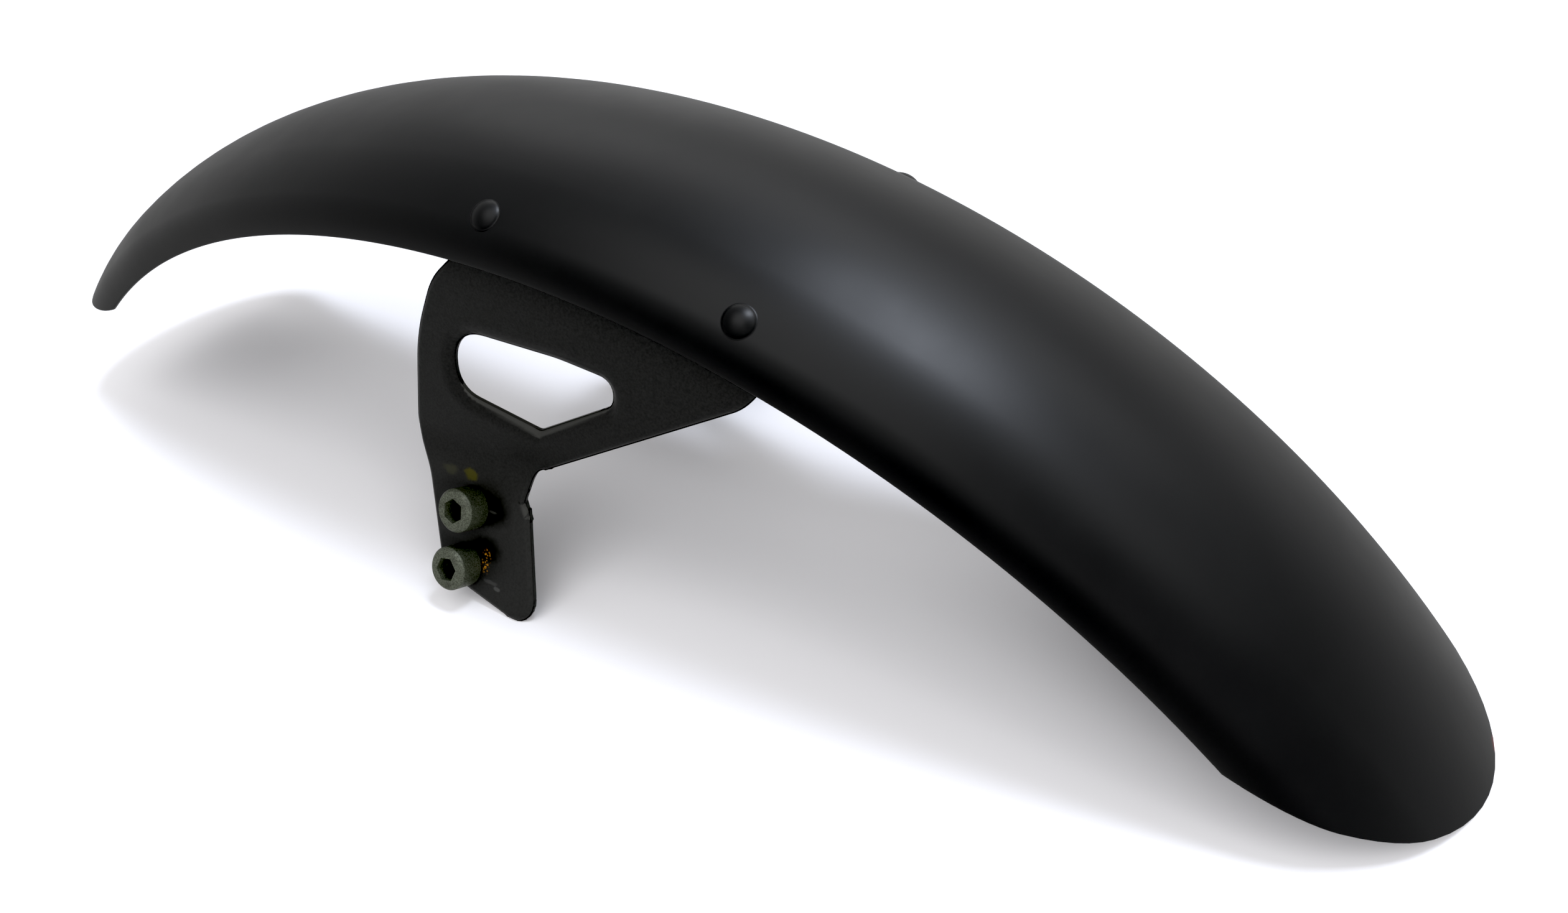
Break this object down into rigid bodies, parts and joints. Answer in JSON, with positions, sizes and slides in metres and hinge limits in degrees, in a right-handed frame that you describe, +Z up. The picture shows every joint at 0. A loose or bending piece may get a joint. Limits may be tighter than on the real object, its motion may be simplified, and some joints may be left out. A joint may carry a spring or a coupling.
{
  "type": "front mudguard",
  "caption": "Black front mudguard of a motorcycle: a pressed arch on riveted side brackets, each with a dished window and a leaning tab that carries socket-head cap screws.",
  "frame": {"origin": "middle of the length, on the plane of symmetry, at the ground the part stands on", "axes": "+X to the tail end, -Y to the left side of the motorcycle, +Z up as it stands on its bracket toes and tail"},
  "size_m": [0.494, 0.1572, 0.1283],
  "materials": {
    "black_paint": "satin black, soft sheen",
    "zinc_steel": "dull worn zinc plating"
  },
  "bodies": {
    "root": {"shell": "black_paint", "bracket_left": "black_paint", "bracket_right": "black_paint", "rivets": "black_paint", "cap_screws": "zinc_steel"}
  },
  "joints": []
}
